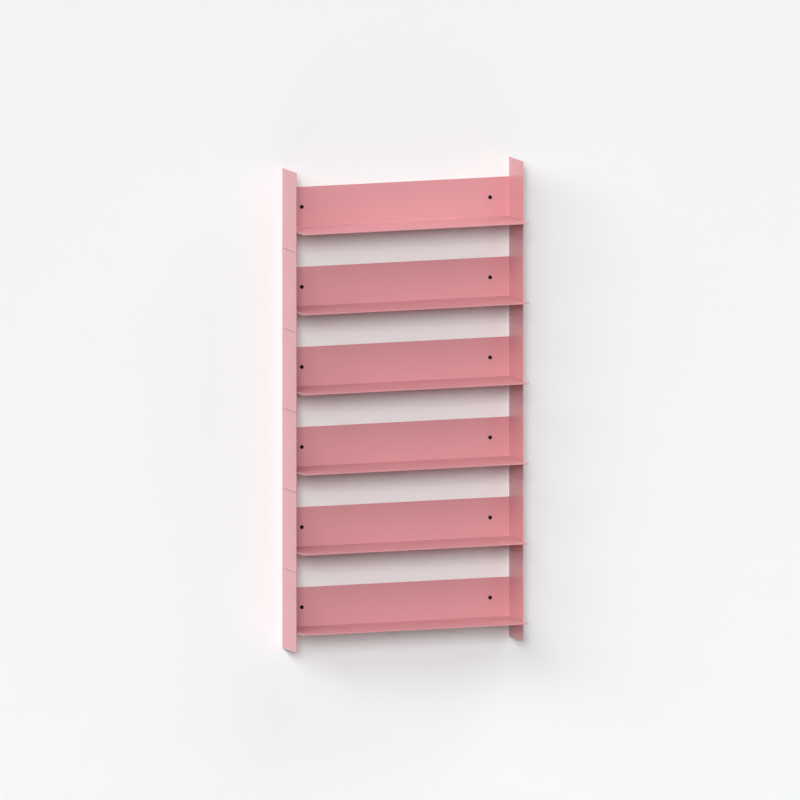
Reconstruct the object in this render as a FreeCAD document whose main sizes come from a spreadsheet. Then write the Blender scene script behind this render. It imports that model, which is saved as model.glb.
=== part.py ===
import FreeCAD, Part
import math
import os

import Sketcher
from FreeCAD import Vector

# Wall bookcase of six equal steel modules hung one above the other. Each module is one T-shaped
# sheet: the arms fold forward as side wings, the stem folds forward as the shelf, and what is left
# in the middle is the back plate, held to the wall by two screws.
#
# Frame: +X to the right, +Y into the wall, +Z up. The wall is the plane y = 0, and the origin is
# the middle of the screw pattern on that plane.

# Driving dimensions in millimetres: name, value, what it measures
DIMENSIONS = [
    ("module_count", 6, "modules, one above the other"),
    ("width", 600, "outer faces of the two wings"),
    ("sheet", 1.5, "thickness of the steel sheet"),
    ("bend_radius", 1.0, "inside radius of every fold"),
    ("plate_height", 100, "back plate, from the underside of the shelf to its top edge"),
    ("wing_height", 199.1, "side wing, bottom edge to top edge"),
    ("wing_depth", 100, "wall to the front edge of a wing"),
    ("wall_clearance", 2.0, "wall to the free back edges of a wing"),
    ("shelf_depth", 150, "wall to the front edge of the shelf"),
    ("shelf_end_gap", 0.75, "each end of the shelf to the wing beside it"),
    ("seam_gap", 0.9, "between the wings of neighbouring modules"),
    ("corner_radius", 1.5, "eased front corners of the shelf"),
    ("relief_width", 0.6, "slits that end the folds"),
    ("screw_inset", 50, "inner face of a wing to the nearest screw"),
    ("hole_clearance", 0.5, "screw hole wider than the thread"),
    ("thread_diameter", 5.0, "over the thread of a wall screw"),
    ("neck_diameter", 3.7, "plain neck under the head"),
    ("head_diameter", 9.6, "round head"),
    ("head_height", 3.2, "top of the head above the plate"),
    ("head_bevel", 0.4, "bevel round the top of the head"),
    ("screw_length", 50, "underside of the head to the end of the thread"),
]

# Places on one module, from the screws' level at the back of its plate
HALF_WIDTH = "sizes.width / 2"
INNER_FACE = "(sizes.width / 2 - sizes.sheet)"
FOLD_OUTER = "(sizes.sheet + sizes.bend_radius)"
FOLD_END = "(sizes.sheet + sizes.bend_radius + sizes.relief_width)"
PLATE_TOP = "sizes.plate_height / 2"
SHELF_BOTTOM = "-sizes.plate_height / 2"
SHELF_HALF = f"({INNER_FACE} - sizes.shelf_end_gap)"
WING_HALF = "sizes.wing_height / 2"
WING_FOLD_BOTTOM = f"({SHELF_BOTTOM} + {FOLD_END})"
NOTCH_TOP = f"({PLATE_TOP} + sizes.relief_width)"
NOTCH_BOTTOM = f"({WING_FOLD_BOTTOM} - sizes.relief_width)"
SLIT_INNER = f"({HALF_WIDTH} - {FOLD_END})"
STRIP_LEG = f"(2 * {FOLD_END})"
PITCH = "(sizes.wing_height + sizes.seam_gap)"
SCREW_X = f"({INNER_FACE} - sizes.screw_inset)"
HOLE_DIAMETER = "(sizes.thread_diameter + sizes.hole_clearance)"

# Sketch references: the points of a line or arc, the two axes, and the origin point
START, END, CENTRE = range(1, 4)
LEVEL_AXIS, UPRIGHT_AXIS = range(-1, -3, -1)
ORIGIN = (LEVEL_AXIS, START)


def make_sizes(doc):
    sizes = doc.addObject("Spreadsheet::Sheet", "sizes")
    for row, (alias, value, meaning) in enumerate(DIMENSIONS, start=1):
        sizes.set(f"A{row}", alias)
        sizes.set(f"B{row}", str(value))
        sizes.setAlias(f"B{row}", alias)
        sizes.set(f"C{row}", meaning)
    doc.recompute()
    return sizes


def add_sketch(body, name, role, offset=None):
    """A sketch on one of the body's own planes, moved along the plane's normal by offset."""
    plane = next(f for f in body.Origin.OriginFeatures if f.Role == role)
    sketch = body.newObject("Sketcher::SketchObject", name)
    sketch.AttachmentSupport = [(plane, "")]
    sketch.MapMode = "FlatFace"
    if offset:
        sketch.setExpression("AttachmentOffset.Base.z", offset)
    return sketch


def bind(sketch, constraint, expression):
    index = sketch.addConstraint(constraint)
    sketch.setExpression(f"Constraints[{index}]", expression)


def place_point(sketch, axis, element, point, expression):
    """Hold one coordinate of a point at the value of an expression."""
    value = float(sketch.evalExpression(expression))
    if value == 0:
        line = UPRIGHT_AXIS if axis == "X" else LEVEL_AXIS
        sketch.addConstraint(Sketcher.Constraint("PointOnObject", element, point, line))
    else:
        bind(sketch, Sketcher.Constraint("Distance" + axis, *ORIGIN, element, point, value), expression)


def draw_outline(sketch, sides):
    """Draw a closed outline, anticlockwise, of level and upright sides in turn.

    Each side is its direction, its place and the radius of the corner at its end, or None.
    """
    count = len(sides)
    places = [float(sketch.evalExpression(place)) for _, place, _ in sides]

    def corner(i):
        j = (i + 1) % count
        across, up = (j, i) if sides[i][0] == "level" else (i, j)
        return Vector(places[across], places[up], 0)

    corners = [corner(i) for i in range(count)]
    heading = [(corners[i] - corners[i - 1]).normalize() for i in range(count)]
    radii = [float(sketch.evalExpression(r)) if r else 0.0 for _, _, r in sides]

    lines = []
    for i, (direction, place, _) in enumerate(sides):
        start = corners[i - 1] + heading[i] * radii[i - 1]
        end = corners[i] - heading[i] * radii[i]
        line = sketch.addGeometry(Part.LineSegment(start, end), False)
        lines.append(line)
        kind, axis = ("Horizontal", "Y") if direction == "level" else ("Vertical", "X")
        sketch.addConstraint(Sketcher.Constraint(kind, line))
        place_point(sketch, axis, line, START, place)

    for i, (_, _, radius) in enumerate(sides):
        here, following = lines[i], lines[(i + 1) % count]
        if not radius:
            sketch.addConstraint(Sketcher.Constraint("Coincident", here, END, following, START))
            continue
        turn = heading[(i + 1) % count]
        centre = corners[i] - heading[i] * radii[i] + turn * radii[i]
        first, last = math.atan2(-turn.y, -turn.x), math.atan2(heading[i].y, heading[i].x)
        ends = (START, END)
        if heading[i].cross(turn).z < 0:
            first, last = last, first
            ends = (END, START)
        circle = Part.Circle(centre, Vector(0, 0, 1), radii[i])
        arc = sketch.addGeometry(Part.ArcOfCircle(circle, first, last), False)
        sketch.addConstraint(Sketcher.Constraint("Tangent", here, END, arc, ends[0]))
        sketch.addConstraint(Sketcher.Constraint("Tangent", arc, ends[1], following, START))
        bind(sketch, Sketcher.Constraint("Radius", arc, radii[i]), radius)


def add_pad(body, name, sketch, length, side_type="One side"):
    pad = body.newObject("PartDesign::Pad", name)
    pad.Profile = sketch
    pad.SideType = side_type
    pad.setExpression("Length", length)
    return pad


def fold_module(doc, number):
    """One module: a sheet folded into back plate, shelf and two wings, with two screw holes."""
    label = f"shelf_module_{number}"
    body = doc.addObject("PartDesign::Body", label)
    body.Label = label

    # Back plate and the roots of both wings: a channel, seen from above
    channel = add_sketch(body, f"{label}_channel", "XY_Plane", WING_FOLD_BOTTOM)
    draw_outline(channel, [
        ("level", "0", FOLD_OUTER),
        ("upright", f"-{HALF_WIDTH}", None),
        ("level", "-sizes.wing_depth", None),
        ("upright", f"-{INNER_FACE}", "sizes.bend_radius"),
        ("level", "-sizes.sheet", "sizes.bend_radius"),
        ("upright", INNER_FACE, None),
        ("level", "-sizes.wing_depth", None),
        ("upright", HALF_WIDTH, FOLD_OUTER),
    ])
    add_pad(body, f"{label}_plate", channel, f"{PLATE_TOP} - {WING_FOLD_BOTTOM}")

    # Fold between plate and shelf: an angle strip, seen from the side, as long as the shelf
    strip = add_sketch(body, f"{label}_fold", "YZ_Plane")
    draw_outline(strip, [
        ("upright", "0", None),
        ("level", WING_FOLD_BOTTOM, None),
        ("upright", "-sizes.sheet", "sizes.bend_radius"),
        ("level", f"{SHELF_BOTTOM} + sizes.sheet", None),
        ("upright", f"-{STRIP_LEG}", None),
        ("level", SHELF_BOTTOM, FOLD_OUTER),
    ])
    add_pad(body, f"{label}_fold_strip", strip, f"2 * {SHELF_HALF}", "Symmetric")

    # Slits that part the ends of that fold from the wings' folds
    slits = add_sketch(body, f"{label}_slits", "XZ_Plane")
    for left, right in ((f"-{HALF_WIDTH}", f"-{SLIT_INNER}"), (SLIT_INNER, HALF_WIDTH)):
        draw_outline(slits, [
            ("level", WING_FOLD_BOTTOM, None),
            ("upright", left, None),
            ("level", NOTCH_BOTTOM, None),
            ("upright", right, None),
        ])
    slit_cut = body.newObject("PartDesign::Pocket", f"{label}_slit_cut")
    slit_cut.Profile = slits
    slit_cut.Type = "ThroughAll"
    slit_cut.SideType = "Symmetric"

    # Shelf: the stem of the sheet, between the wings and out past their front edges
    shelf = add_sketch(body, f"{label}_shelf", "XY_Plane", SHELF_BOTTOM)
    draw_outline(shelf, [
        ("level", f"-{FOLD_END}", None),
        ("upright", f"-{SHELF_HALF}", "sizes.corner_radius"),
        ("level", "-sizes.shelf_depth", "sizes.corner_radius"),
        ("upright", SHELF_HALF, None),
    ])
    add_pad(body, f"{label}_shelf_board", shelf, "sizes.sheet")

    # Wings: taller than the plate, notched where the fold to the plate begins and ends
    wing = add_sketch(body, f"{label}_wing", "YZ_Plane", f"-{HALF_WIDTH}")
    draw_outline(wing, [
        ("upright", "-sizes.wall_clearance", None),
        ("level", WING_HALF, None),
        ("upright", "-sizes.wing_depth", None),
        ("level", f"-{WING_HALF}", None),
        ("upright", "-sizes.wall_clearance", None),
        ("level", NOTCH_BOTTOM, None),
        ("upright", f"-{FOLD_END}", None),
        ("level", NOTCH_TOP, None),
    ])
    left_wing = add_pad(body, f"{label}_left_wing", wing, "sizes.sheet")
    both_wings = body.newObject("PartDesign::Mirrored", f"{label}_both_wings")
    both_wings.Originals = [left_wing]
    both_wings.MirrorPlane = (next(f for f in body.Origin.OriginFeatures if f.Role == "YZ_Plane"), [""])
    body.Tip = both_wings

    # Two plain screw holes through the plate
    holes = add_sketch(body, f"{label}_holes", "XZ_Plane")
    across = float(holes.evalExpression(SCREW_X))
    bore = float(holes.evalExpression(HOLE_DIAMETER))
    for side in (1, -1):
        circle = Part.Circle(Vector(side * across, 0, 0), Vector(0, 0, 1), bore / 2)
        hole = holes.addGeometry(circle, False)
        place_point(holes, "X", hole, CENTRE, f"{side} * {SCREW_X}")
        place_point(holes, "Y", hole, CENTRE, "0")
        bind(holes, Sketcher.Constraint("Diameter", hole, bore), HOLE_DIAMETER)
    drilled = body.newObject("PartDesign::Pocket", f"{label}_screw_holes")
    drilled.Profile = holes
    drilled.Type = "ThroughAll"
    drilled.SideType = "Symmetric"

    body.setExpression("Placement.Base.z", f"({number} - (sizes.module_count + 1) / 2) * {PITCH}")
    return body


def turn_screw(doc, number, side, sign):
    """One wall screw: round head on the plate, plain neck through it, thread in the wall."""
    label = f"wall_screw_{number}_{side}"
    body = doc.addObject("PartDesign::Body", label)
    body.Label = label

    # Half of the screw's outline from the middle of the head to its far end, turned about its axis
    half_profile = add_sketch(body, f"{label}_half_profile", "XY_Plane")
    vertices = [
        ("0", "-sizes.sheet - sizes.head_height"),
        ("sizes.head_diameter / 2 - sizes.head_bevel", "-sizes.sheet - sizes.head_height"),
        ("sizes.head_diameter / 2", "-sizes.sheet - sizes.head_height + sizes.head_bevel"),
        ("sizes.head_diameter / 2", "-sizes.sheet"),
        ("sizes.neck_diameter / 2", "-sizes.sheet"),
        ("sizes.neck_diameter / 2", "0"),
        ("sizes.thread_diameter / 2", "0"),
        ("sizes.thread_diameter / 2", "sizes.screw_length - sizes.sheet"),
        ("0", "sizes.screw_length - sizes.sheet"),
    ]
    points = [Vector(*(float(half_profile.evalExpression(e)) for e in vertex), 0) for vertex in vertices]
    edges = []
    for start, end in zip(points, points[1:] + points[:1]):
        edges.append(half_profile.addGeometry(Part.LineSegment(start, end), False))
    for i, (across, along) in enumerate(vertices):
        half_profile.addConstraint(Sketcher.Constraint("Coincident", edges[i - 1], END, edges[i], START))
        place_point(half_profile, "X", edges[i], START, across)
        place_point(half_profile, "Y", edges[i], START, along)
    turned = body.newObject("PartDesign::Revolution", f"{label}_turned")
    turned.Profile = half_profile
    turned.ReferenceAxis = (half_profile, ["V_Axis"])
    turned.Angle = 360

    body.setExpression("Placement.Base.x", f"{sign} * {SCREW_X}")
    body.setExpression("Placement.Base.z", f"({number} - (sizes.module_count + 1) / 2) * {PITCH}")
    return body


def check(doc, bodies):
    """Stop unless every object is sound and every body is one valid solid."""
    for obj in doc.Objects:
        if "Invalid" in obj.State or "Error" in obj.State:
            raise RuntimeError(f"{obj.Label}: {obj.State}")
        if obj.isDerivedFrom("Sketcher::SketchObject") and not obj.FullyConstrained:
            raise RuntimeError(f"{obj.Label}: the sketch is not fully constrained")
    for body in bodies:
        shape = body.Shape
        if shape.isNull() or not shape.isValid() or len(shape.Solids) != 1:
            raise RuntimeError(f"{body.Label}: not one valid solid")


doc = FreeCAD.newDocument("wall_bookcase")
sizes = make_sizes(doc)
bodies = []
for number in range(1, int(sizes.module_count) + 1):
    bodies.append(fold_module(doc, number))
    for side, sign in (("left", -1), ("right", 1)):
        bodies.append(turn_screw(doc, number, side, sign))
doc.recompute()
check(doc, bodies)

os.makedirs("parts", exist_ok=True)
for body in bodies:
    body.Shape.exportStep(f"parts/{body.Label}.step")
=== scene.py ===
import math

import bmesh
import bpy
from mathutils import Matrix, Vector


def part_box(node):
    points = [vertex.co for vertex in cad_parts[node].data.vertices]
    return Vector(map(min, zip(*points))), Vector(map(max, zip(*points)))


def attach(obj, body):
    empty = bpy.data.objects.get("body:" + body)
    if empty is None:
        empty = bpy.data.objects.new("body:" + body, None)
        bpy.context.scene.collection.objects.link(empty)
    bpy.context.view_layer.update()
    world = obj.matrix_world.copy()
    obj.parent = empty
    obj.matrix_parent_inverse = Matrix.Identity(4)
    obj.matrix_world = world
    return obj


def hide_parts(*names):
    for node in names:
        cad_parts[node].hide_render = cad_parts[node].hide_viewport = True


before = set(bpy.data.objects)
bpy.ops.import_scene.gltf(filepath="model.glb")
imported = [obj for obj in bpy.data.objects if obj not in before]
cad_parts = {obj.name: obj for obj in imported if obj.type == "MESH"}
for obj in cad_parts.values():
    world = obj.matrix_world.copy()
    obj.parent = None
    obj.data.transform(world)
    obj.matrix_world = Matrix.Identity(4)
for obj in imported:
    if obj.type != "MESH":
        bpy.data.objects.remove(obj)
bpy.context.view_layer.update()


# Folded shelf modules
# Each of the six modules is one T-shaped blank of steel sheet, laser cut and powder coated. Its arms
# fold forward into the side wings and its stem into the shelf, and short slits end each fold.
SHEET = 0.0015
FOLD_RADIUS = 0.0025
FOLD_STEPS = 8
SLIT = 0.0006
PLATE_HALF = 0.050
WING_DEPTH = 0.100
WALL_CLEARANCE = 0.002
SHELF_END_GAP = 0.00075
SHELF_CORNER = 0.0015
WING_CORNER = 0.0006
CORNER_STEPS = 4
HOLE_RADIUS = 0.00275
HOLE_FACETS = 32
HOLE_PATCH = 0.012
EDGE_ROUND = 0.00025
END_ROUND = 0.0005
ROUND_STEPS = 3
SMOOTH_ANGLE = math.radians(50)
TINY = 1e-5

module_low, module_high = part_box("shelf_module_1")
screw_low, screw_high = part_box("wall_screw_1_right")
half_width = module_high.x
shelf_depth = -module_low.y
wing_half = (module_high.z - module_low.z) / 2
level = (module_low.z + module_high.z) / 2
screw_x = (screw_low.x + screw_high.x) / 2
fold_end = FOLD_RADIUS + SLIT
plate_edge = half_width - fold_end
plate_top = level + PLATE_HALF
plate_bottom = level - PLATE_HALF + fold_end
fold_top = plate_bottom - SLIT
shelf_half = half_width - SHEET - SHELF_END_GAP


def pick(kind, where):
    """Select only those verts, edges or faces of the mesh in edit mode that pass the test all over."""
    bpy.ops.mesh.select_mode(type={"verts": "VERT", "edges": "EDGE", "faces": "FACE"}[kind])
    bpy.ops.mesh.select_all(action="DESELECT")
    mesh = bmesh.from_edit_mesh(bpy.context.object.data)
    for element in getattr(mesh, kind):
        corners = [element] if kind == "verts" else element.verts
        element.select_set(all(where(corner.co) for corner in corners))
    mesh.select_flush_mode()
    bmesh.update_edit_mesh(bpy.context.object.data)


def pull(x=0.0, y=0.0, z=0.0):
    """Extrude what is selected by a step, and leave its new end selected."""
    bpy.ops.mesh.extrude_region_move(TRANSFORM_OT_translate={"value": (x, y, z)})


def finish_with(piece, kind, **settings):
    """Add a modifier with these settings and apply it."""
    modifier = piece.modifiers.new(kind.title(), kind)
    for name, value in settings.items():
        setattr(modifier, name, value)
    bpy.context.view_layer.objects.active = piece
    bpy.ops.object.modifier_apply(modifier=modifier.name)


# The back of the plate, short of its folds
bpy.ops.object.select_all(action="DESELECT")
bpy.ops.mesh.primitive_plane_add(
    size=2, location=(0, 0, (plate_top + plate_bottom) / 2), rotation=(-math.pi / 2, 0, 0))
module = bpy.context.object
module.name = module.data.name = "module_1"
module.scale = (plate_edge, (plate_top - plate_bottom) / 2, 1)
bpy.ops.object.transform_apply(location=True, rotation=True, scale=True)
bpy.ops.object.mode_set(mode="EDIT")

# A wing on each side: round the fold, out to the front edge, then up and down past the slits
for side in (-1, 1):
    pick("edges", lambda co: co.x * side > plate_edge - TINY)
    pull(x=side * SLIT)
    bpy.ops.mesh.spin(steps=FOLD_STEPS, angle=side * math.pi / 2,
                      center=(side * (half_width - FOLD_RADIUS), -FOLD_RADIUS, 0), axis=(0, 0, 1))
    pull(y=-SLIT)
    pull(y=fold_end - WING_DEPTH)
    for edge, way, reach in (
        (plate_top, 1, wing_half - PLATE_HALF),
        (plate_bottom, -1, wing_half - PLATE_HALF + fold_end),
    ):
        pick("edges", lambda co: co.x * side > half_width - TINY and abs(co.z - edge) < TINY
             and co.y < TINY - fold_end)
        pull(z=way * SLIT)
        pull(z=way * (reach - SLIT))
        pick("edges", lambda co: co.x * side > half_width - TINY and abs(co.y + fold_end) < TINY
             and (co.z - edge) * way > SLIT - TINY)
        pull(y=fold_end - WALL_CLEARANCE)

# The shelf: down past the slits, round its fold and out to the front edge, then sideways to the wings
pick("edges", lambda co: abs(co.x) < plate_edge + TINY and abs(co.y) < TINY and co.z < plate_bottom + TINY)
pull(z=-SLIT)
bpy.ops.mesh.spin(steps=FOLD_STEPS, angle=math.pi / 2, center=(0, -FOLD_RADIUS, fold_top), axis=(1, 0, 0))
pull(y=FOLD_RADIUS - shelf_depth)
for side in (-1, 1):
    pick("edges", lambda co: abs(co.x * side - plate_edge) < TINY and co.z < fold_top + TINY)
    pull(x=side * (shelf_half - plate_edge))
    pick("edges", lambda co: abs(co.x * side - plate_edge) < TINY and co.z < fold_top + TINY)
    bpy.ops.mesh.dissolve_edges(use_verts=True)

# Eased corners, the shelf's more than the wings'
pick("verts", lambda co: co.y < TINY - shelf_depth and abs(co.x) > shelf_half - TINY)
bpy.ops.mesh.bevel(offset=SHELF_CORNER, segments=CORNER_STEPS, affect="VERTICES")
pick("verts", lambda co: abs(co.x) > half_width - TINY and abs(co.z - level) > wing_half - TINY
     and (co.y < TINY - WING_DEPTH or co.y > -WALL_CLEARANCE - TINY))
bpy.ops.mesh.bevel(offset=WING_CORNER, segments=CORNER_STEPS, affect="VERTICES")

# A patch of the plate round each screw hole, so that the hole's edges stay local
for x in (-screw_x, screw_x):
    for step in (-HOLE_PATCH, HOLE_PATCH):
        pick("faces", lambda co: abs(co.y) < TINY)
        bpy.ops.mesh.bisect(plane_co=(x + step, 0, 0), plane_no=(1, 0, 0))
for step in (-HOLE_PATCH, HOLE_PATCH):
    pick("faces", lambda co: abs(co.y) < TINY)
    bpy.ops.mesh.bisect(plane_co=(0, 0, level + step), plane_no=(0, 0, 1))
bpy.ops.mesh.select_all(action="SELECT")
bpy.ops.mesh.normals_make_consistent(inside=False)
bpy.ops.object.mode_set(mode="OBJECT")

# The sheet's thickness, the screw holes and the rounded edges that the coating leaves, rounder where
# the ends of neighbouring wings meet
finish_with(module, "SOLIDIFY", thickness=SHEET, offset=-1, use_even_offset=True)
for x in (-screw_x, screw_x):
    bpy.ops.mesh.primitive_cylinder_add(
        vertices=HOLE_FACETS, radius=HOLE_RADIUS, depth=4 * SHEET, location=(x, -SHEET / 2, level),
        rotation=(math.pi / 2, 0, 0))
    drill = bpy.context.object
    finish_with(module, "BOOLEAN", object=drill, operation="DIFFERENCE", solver="EXACT")
    bpy.data.objects.remove(drill)
bpy.ops.object.mode_set(mode="EDIT")
bpy.ops.mesh.select_mode(type="EDGE")
bpy.ops.mesh.select_all(action="DESELECT")
bpy.ops.mesh.edges_select_sharp(sharpness=SMOOTH_ANGLE)
bpy.ops.transform.edge_bevelweight(value=EDGE_ROUND / END_ROUND)
for face in (half_width, half_width - SHEET):
    pick("edges", lambda co: abs(abs(co.x) - face) < TINY
         and abs(co.z - level) > wing_half - WING_CORNER - TINY)
    bpy.ops.transform.edge_bevelweight(value=1)
bpy.ops.object.mode_set(mode="OBJECT")
finish_with(module, "BEVEL", width=END_ROUND, segments=ROUND_STEPS, limit_method="WEIGHT")
module.select_set(True)
bpy.ops.object.shade_smooth_by_angle(angle=SMOOTH_ANGLE)
finish_with(module, "WEIGHTED_NORMAL", keep_sharp=True)

# Skin of a baked coating, for the powder coat here and the screws' black: a soft ripple with a fine
# grain on it, and a slow drift of tone and gloss
NOISE_DETAIL = {"Ripple": 1.5, "Grain": 2.0, "Drift": 3.0}
GRAIN_SHARE = 0.25
CLEAR_LAYER_IOR = 1.3
skin = bpy.data.node_groups.new("coating_skin", "ShaderNodeTree")
for name in NOISE_DETAIL:
    skin.interface.new_socket(f"{name} Scale", in_out="INPUT", socket_type="NodeSocketFloat")
for name in ("Height", "Drift"):
    skin.interface.new_socket(name, in_out="OUTPUT", socket_type="NodeSocketFloat")
inside, join = skin.nodes, skin.links.new
given = inside.new("NodeGroupInput")
result = inside.new("NodeGroupOutput")
coordinates = inside.new("ShaderNodeTexCoord")
noises = {}
for name, detail in NOISE_DETAIL.items():
    noises[name] = inside.new("ShaderNodeTexNoise")
    noises[name].inputs["Detail"].default_value = detail
    join(coordinates.outputs["Object"], noises[name].inputs["Vector"])
    join(given.outputs[f"{name} Scale"], noises[name].inputs["Scale"])
height = inside.new("ShaderNodeMath")
height.operation = "MULTIPLY_ADD"
height.inputs[1].default_value = GRAIN_SHARE
join(noises["Grain"].outputs["Fac"], height.inputs[0])
join(noises["Ripple"].outputs["Fac"], height.inputs[2])
join(height.outputs["Value"], result.inputs["Height"])
join(noises["Drift"].outputs["Fac"], result.inputs["Drift"])


def coat_with(name, scales, tones, roughness, ripple_depth, shine, clear_layer=0.0):
    """A coating whose tone and gloss drift between two values, over a ripple of a given depth."""
    material = bpy.data.materials.new(name)
    material.use_nodes = True
    nodes, link = material.node_tree.nodes, material.node_tree.links.new
    shader = nodes["Principled BSDF"]
    shader.inputs["Specular IOR Level"].default_value = shine
    shader.inputs["Coat Weight"].default_value = clear_layer
    shader.inputs["Coat Roughness"].default_value = roughness[0]
    shader.inputs["Coat IOR"].default_value = CLEAR_LAYER_IOR
    surface = nodes.new("ShaderNodeGroup")
    surface.node_tree = skin
    for socket, scale in zip(surface.inputs, scales):
        socket.default_value = scale
    tone = nodes.new("ShaderNodeMix")
    tone.data_type = "RGBA"
    tone.inputs["A"].default_value, tone.inputs["B"].default_value = tones
    link(surface.outputs["Drift"], tone.inputs["Factor"])
    link(tone.outputs["Result"], shader.inputs["Base Color"])
    gloss = nodes.new("ShaderNodeMapRange")
    gloss.inputs["To Min"].default_value, gloss.inputs["To Max"].default_value = roughness
    link(surface.outputs["Drift"], gloss.inputs["Value"])
    link(gloss.outputs["Result"], shader.inputs["Roughness"])
    bump = nodes.new("ShaderNodeBump")
    bump.inputs["Distance"].default_value = ripple_depth
    link(surface.outputs["Height"], bump.inputs["Height"])
    link(bump.outputs["Normal"], shader.inputs["Normal"])
    return material


# Satin powder coat in pale pink
PINK_TONES = ((0.588, 0.264, 0.285, 1), (0.606, 0.275, 0.296, 1))
module.data.materials.append(coat_with(
    "pink_powder_coat", scales=(450, 2500, 5), tones=PINK_TONES, roughness=(0.31, 0.39),
    ripple_depth=0.00004, shine=0.25, clear_layer=1.0))


def copy_of(piece, name, place):
    """Copy a piece with a mesh of its own, which takes up the place of the copy."""
    bpy.ops.object.select_all(action="DESELECT")
    piece.select_set(True)
    bpy.context.view_layer.objects.active = piece
    bpy.ops.object.duplicate()
    copy = bpy.context.object
    copy.name = copy.data.name = name
    copy.location = place
    bpy.ops.object.transform_apply(location=True, rotation=False, scale=False)
    return copy


# Six modules at an even pitch
MODULES = 6
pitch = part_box("shelf_module_2")[0].z - module_low.z
modules = [module]
for number in range(2, MODULES + 1):
    modules.append(copy_of(module, f"module_{number}", (0, 0, (number - 1) * pitch)))
for number, piece in enumerate(modules, start=1):
    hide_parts(f"shelf_module_{number}")
    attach(piece, "root")


# Wall screws
# Two black pan-head wood screws hold each back plate, driven through its holes into the wall. They are
# cold-headed steel with a pressed cross recess and a rolled thread that runs out to a point.
HEAD_FACETS = 48
HEAD_RIM = 0.0011
DOME_STEPS = 7
DOME_FLAT = 0.5
NECK_RADIUS = 0.00185
NECK_END = 0.0015
RECESS_WIDTH = 0.0012
RECESS_SPAN = 0.0052
RECESS_DEPTH = 0.0022
RECESS_TAPER = 0.55
THREAD_START = 0.0001
THREAD_RADIUS = 0.0025
THREAD_CORE = 0.0016
THREAD_PITCH = 0.0022
THREAD_BASE = 0.0011
THREAD_CREST = 0.00015
THREAD_FACETS = 28
SPARE_TURNS = 2
MERGE_WITHIN = 1e-6
CUT_WITHIN = 1e-7
POINT_LENGTH = 0.008
POINT_STEPS = 16
POINT_END = 0.1
POINT_CURVE = 1.5

head_radius = (screw_high.x - screw_low.x) / 2
head_top = screw_low.y
thread_end = screw_high.y

# Head: a low rim with a dome over it, and the neck that goes through the plate
bpy.ops.object.select_all(action="DESELECT")
bpy.ops.mesh.primitive_circle_add(
    vertices=HEAD_FACETS, radius=head_radius, fill_type="NGON", location=(0, -SHEET, 0),
    rotation=(math.pi / 2, 0, 0))
screw = bpy.context.object
bpy.ops.object.transform_apply(location=True, rotation=True, scale=False)
bpy.ops.object.mode_set(mode="EDIT")
pull(y=-HEAD_RIM)
dome_angles = [math.pi / 2 * step / (DOME_STEPS + DOME_FLAT) for step in range(DOME_STEPS + 1)]
dome_radius = (-SHEET - HEAD_RIM - head_top) / math.sin(dome_angles[-1])
for lower, upper in zip(dome_angles, dome_angles[1:]):
    pull(y=-dome_radius * (math.sin(upper) - math.sin(lower)))
    narrower = math.cos(upper) / math.cos(lower)
    bpy.ops.transform.resize(value=(narrower, 1, narrower))
pick("faces", lambda co: co.y > -SHEET - TINY)
bpy.ops.mesh.inset(thickness=head_radius - NECK_RADIUS)
pull(y=SHEET + NECK_END)
bpy.ops.mesh.select_all(action="SELECT")
bpy.ops.mesh.normals_make_consistent(inside=False)
bpy.ops.object.mode_set(mode="OBJECT")

# Cross recess, pressed in by a tapered punch
bpy.ops.mesh.primitive_plane_add(
    size=RECESS_WIDTH, location=(0, head_top - RECESS_WIDTH, 0), rotation=(math.pi / 2, 0, 0))
punch = bpy.context.object
bpy.ops.object.transform_apply(location=True, rotation=True, scale=False)
bpy.ops.object.mode_set(mode="EDIT")
for side in (-1, 1):
    pick("edges", lambda co: co.x * side > RECESS_WIDTH / 2 - TINY and abs(co.z) < RECESS_WIDTH / 2 + TINY)
    pull(x=side * (RECESS_SPAN - RECESS_WIDTH) / 2)
    pick("edges", lambda co: co.z * side > RECESS_WIDTH / 2 - TINY and abs(co.x) < RECESS_WIDTH / 2 + TINY)
    pull(z=side * (RECESS_SPAN - RECESS_WIDTH) / 2)
bpy.ops.mesh.select_all(action="SELECT")
pull(y=RECESS_WIDTH + RECESS_DEPTH)
bpy.ops.transform.resize(value=(RECESS_TAPER, 1, RECESS_TAPER))
bpy.ops.mesh.select_all(action="SELECT")
bpy.ops.mesh.normals_make_consistent(inside=False)
bpy.ops.object.mode_set(mode="OBJECT")
finish_with(screw, "BOOLEAN", object=punch, operation="DIFFERENCE", solver="EXACT")
bpy.data.objects.remove(punch)

# Thread: one tooth and the root beside it, wound along the screw, cut square and drawn out to a point
bpy.ops.object.select_all(action="DESELECT")
bpy.ops.mesh.primitive_plane_add(size=1, location=((THREAD_CORE + THREAD_RADIUS) / 2, -THREAD_PITCH, 0))
thread = bpy.context.object
thread.scale = (THREAD_RADIUS - THREAD_CORE, THREAD_BASE, 1)
bpy.ops.object.transform_apply(location=True, rotation=False, scale=True)
bpy.ops.object.mode_set(mode="EDIT")
bpy.ops.mesh.delete(type="ONLY_FACE")
pick("edges", lambda co: co.x < THREAD_CORE + TINY)
bpy.ops.mesh.delete(type="EDGE")
pick("edges", lambda co: co.x > THREAD_RADIUS - TINY)
bpy.ops.transform.resize(value=(1, THREAD_CREST / THREAD_BASE, 1))
pick("verts", lambda co: co.x < THREAD_CORE + TINY and co.y > -THREAD_PITCH)
pull(y=THREAD_PITCH - THREAD_BASE)
bpy.ops.object.mode_set(mode="OBJECT")
finish_with(thread, "SCREW", axis="Y", screw_offset=THREAD_PITCH, steps=THREAD_FACETS,
            render_steps=THREAD_FACETS, iterations=math.ceil(thread_end / THREAD_PITCH) + SPARE_TURNS)
bpy.ops.object.mode_set(mode="EDIT")
bpy.ops.mesh.select_all(action="SELECT")
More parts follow.
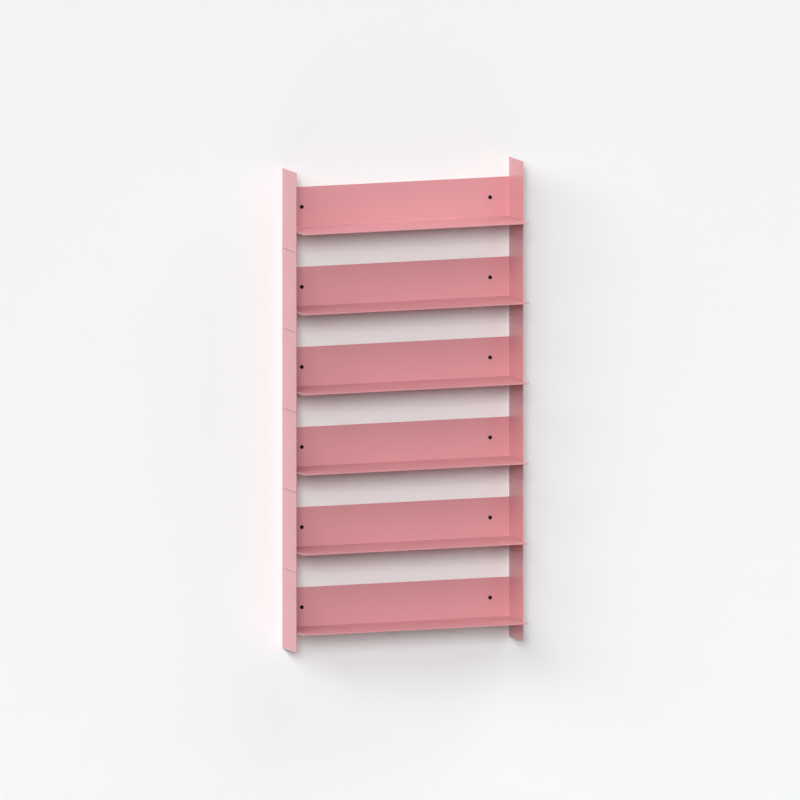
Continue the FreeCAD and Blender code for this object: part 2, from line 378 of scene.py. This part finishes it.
bpy.ops.mesh.remove_doubles(threshold=MERGE_WITHIN)
bpy.ops.mesh.bisect(plane_co=(0, THREAD_START, 0), plane_no=(0, 1, 0), use_fill=True, clear_inner=True,
                    threshold=CUT_WITHIN)
bpy.ops.mesh.select_all(action="SELECT")
bpy.ops.mesh.bisect(plane_co=(0, thread_end, 0), plane_no=(0, 1, 0), use_fill=True, clear_outer=True,
                    threshold=CUT_WITHIN)
bpy.ops.mesh.select_all(action="SELECT")
bpy.ops.mesh.normals_make_consistent(inside=False)


def point_width(share):
    """Width of the thread, against its full width, at a share of the way along the point."""
    return 1 - (1 - POINT_END) * share ** POINT_CURVE


for step in range(POINT_STEPS):
    narrower = point_width((step + 1) / POINT_STEPS) / point_width(step / POINT_STEPS)
    pick("verts", lambda co: co.y > thread_end - POINT_LENGTH * (1 - step / POINT_STEPS))
    bpy.ops.transform.resize(value=(narrower, 1, narrower), center_override=(0, 0, 0))
bpy.ops.object.mode_set(mode="OBJECT")
finish_with(screw, "BOOLEAN", object=thread, operation="UNION", solver="EXACT")
bpy.data.objects.remove(thread)
screw.select_set(True)
bpy.ops.object.shade_smooth_by_angle(angle=SMOOTH_ANGLE)

# Black baked coating, thin and dull
BLACK_TONES = ((0.003, 0.003, 0.003, 1), (0.006, 0.006, 0.006, 1))
screw.data.materials.append(coat_with(
    "black_screw_coat", scales=(1500, 6000, 400), tones=BLACK_TONES, roughness=(0.45, 0.60),
    ripple_depth=0.00001, shine=0.08))

# One screw at each hole
for number in range(1, MODULES + 1):
    for side in ("left", "right"):
        node = f"wall_screw_{number}_{side}"
        low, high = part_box(node)
        place = ((low.x + high.x) / 2, 0, (low.z + high.z) / 2)
        piece = copy_of(screw, f"screw_{number}_{side}", place)
        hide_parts(node)
        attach(piece, "root")
bpy.data.objects.remove(screw)


# Wall and floor
# A plain white wall that the modules hang on and a pale floor below, as in a studio. The wall is
# clear from behind, so that the backs of the modules can be seen too.
WALL_PLANE = -0.0005
WALL_WHITE = (0.87, 0.88, 0.88, 1)
WALL_ROUGHNESS = 0.9
FLOOR_DROP = 7
STAGE_SIZE = 12
bpy.ops.object.select_all(action="DESELECT")
bpy.ops.mesh.primitive_plane_add(
    size=STAGE_SIZE, location=(0, WALL_PLANE, STAGE_SIZE / 2 - FLOOR_DROP), rotation=(math.pi / 2, 0, 0))
wall = bpy.context.object
wall.name = "wall"
bpy.ops.mesh.primitive_plane_add(size=STAGE_SIZE, location=(0, 0, -FLOOR_DROP))
floor = bpy.context.object
floor.name = "floor"

paint = bpy.data.materials.new("wall_paint")
paint.use_nodes = True
nodes, links = paint.node_tree.nodes, paint.node_tree.links
shader = nodes["Principled BSDF"]
shader.inputs["Base Color"].default_value = WALL_WHITE
shader.inputs["Roughness"].default_value = WALL_ROUGHNESS
shader.inputs["Specular IOR Level"].default_value = 0.0
clear = nodes.new("ShaderNodeBsdfTransparent")
which_side = nodes.new("ShaderNodeNewGeometry")
mix = nodes.new("ShaderNodeMixShader")
links.new(which_side.outputs["Backfacing"], mix.inputs[0])
links.new(shader.outputs["BSDF"], mix.inputs[1])
links.new(clear.outputs["BSDF"], mix.inputs[2])
links.new(mix.outputs["Shader"], nodes["Material Output"].inputs["Surface"])
wall.data.materials.append(paint)

plain = bpy.data.materials.new("floor_paint")
plain.use_nodes = True
shader = plain.node_tree.nodes["Principled BSDF"]
shader.inputs["Base Color"].default_value = WALL_WHITE
shader.inputs["Roughness"].default_value = WALL_ROUGHNESS
floor.data.materials.append(plain)


# Light
# Soft lamps from the left and the front draw a graded shadow under each shelf. Weaker ones from
# above and from the right keep the far side clear, and one behind the wall shows the backs. Their
# angles are in degrees.
LAMPS = {
    "front_lamp": {"azimuth": -22, "elevation": 16, "spread": 20, "strength": 2.08},
    "left_lamp": {"azimuth": -45, "elevation": 35, "spread": 22, "strength": 0.75},
    "left_side_lamp": {"azimuth": -70, "elevation": 25, "spread": 22, "strength": 1.00},
    "right_lamp": {"azimuth": 30, "elevation": 5, "spread": 22, "strength": 0.16},
    "right_side_lamp": {"azimuth": 86, "elevation": 42, "spread": 40, "strength": 1.12},
    "top_lamp": {"azimuth": 60, "elevation": 68, "spread": 30, "strength": 0.77},
    "back_lamp": {"azimuth": 160, "elevation": 30, "spread": 60, "strength": 3.00},
}


def towards(azimuth, elevation):
    """Direction from the bookcase to a lamp or the camera, by its angles round the room and up."""
    return Vector((math.sin(azimuth) * math.cos(elevation),
                   -math.cos(azimuth) * math.cos(elevation),
                   math.sin(elevation)))


for name, lamp in LAMPS.items():
    light = bpy.data.lights.new(name, "SUN")
    light.energy = lamp["strength"]
    light.angle = math.radians(lamp["spread"])
    stand = bpy.data.objects.new(name, light)
    from_lamp = towards(math.radians(lamp["azimuth"]), math.radians(lamp["elevation"]))
    stand.rotation_euler = from_lamp.to_track_quat("Z", "Y").to_euler()
    bpy.context.collection.objects.link(stand)

# White all round, for the camera and for reflections
room = bpy.data.worlds.new("room")
room.use_nodes = True
background = room.node_tree.nodes["Background"]
background.inputs["Color"].default_value = (1, 1, 1, 1)
rays = room.node_tree.nodes.new("ShaderNodeLightPath")
strength = rays.outputs["Is Camera Ray"]
for kind in ("Is Glossy Ray", "Is Transmission Ray"):
    either = room.node_tree.nodes.new("ShaderNodeMath")
    either.operation = "MAXIMUM"
    room.node_tree.links.new(strength, either.inputs[0])
    room.node_tree.links.new(rays.outputs[kind], either.inputs[1])
    strength = either.outputs["Value"]
room.node_tree.links.new(strength, background.inputs["Strength"])
bpy.context.scene.world = room


# Camera
# The photograph is a parallel view from the left and a little above: lines that run along the
# shelves stay parallel from the top module to the lowest.
VIEW_AZIMUTH = math.radians(-20.4)
VIEW_ELEVATION = math.radians(7.9)
FRAME_SIDE = 1.9794
AIM_RIGHT = 0.01074
AIM_UP = 0.00515
CAMERA_DISTANCE = 5
camera = bpy.data.objects.new("camera", bpy.data.cameras.new("camera"))
bpy.context.collection.objects.link(camera)
bpy.context.scene.camera = camera
camera.data.type = "ORTHO"
camera.data.ortho_scale = FRAME_SIDE
to_camera = towards(VIEW_AZIMUTH, VIEW_ELEVATION)
turn = to_camera.to_track_quat("Z", "Y")
camera.rotation_euler = turn.to_euler()
camera.location = to_camera * CAMERA_DISTANCE + turn @ Vector((AIM_RIGHT, AIM_UP, 0))
bpy.context.scene.view_settings.view_transform = "Standard"
